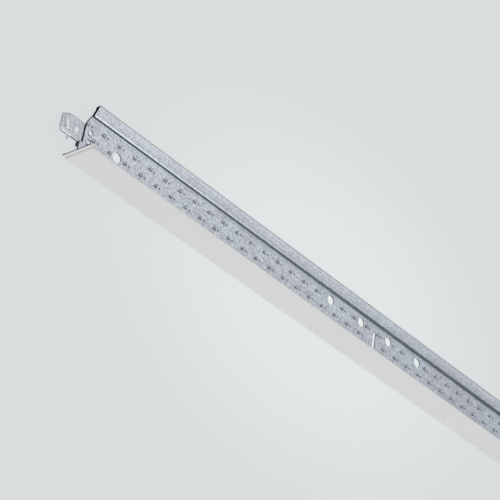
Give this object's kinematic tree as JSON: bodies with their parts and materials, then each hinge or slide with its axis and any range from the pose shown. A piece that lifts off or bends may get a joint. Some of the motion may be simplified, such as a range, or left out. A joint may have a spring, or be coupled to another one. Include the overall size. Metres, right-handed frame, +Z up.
{
  "type": "ceiling grid cross tee",
  "caption": "Steel cross tee for a suspended ceiling grid: hollow bulb, stitched double web with holes and a slot, hemmed white face and click-in end clips.",
  "frame": {"origin": "middle of the tee's length and width, on the floor that it lies on; the slot is at x = 0", "axes": "+X along the tee from the end nearest the picture's camera to the far end; +Z up from the floor, out of the stitched side of the web; the white face looks towards -Y and the bulb is at +Y"},
  "size_m": [0.6128, 0.0404, 0.0236],
  "materials": {
    "galvanised_steel": "galvanised, fine spangle, dull sheen",
    "white_paint": "matt white coil paint",
    "clip_steel": "zinc-coated, dull sheen"
  },
  "bodies": {
    "root": {"tee_body": "galvanised_steel", "face_cap": "white_paint", "end_clip_left": "clip_steel", "end_clip_right": "clip_steel"}
  },
  "joints": []
}
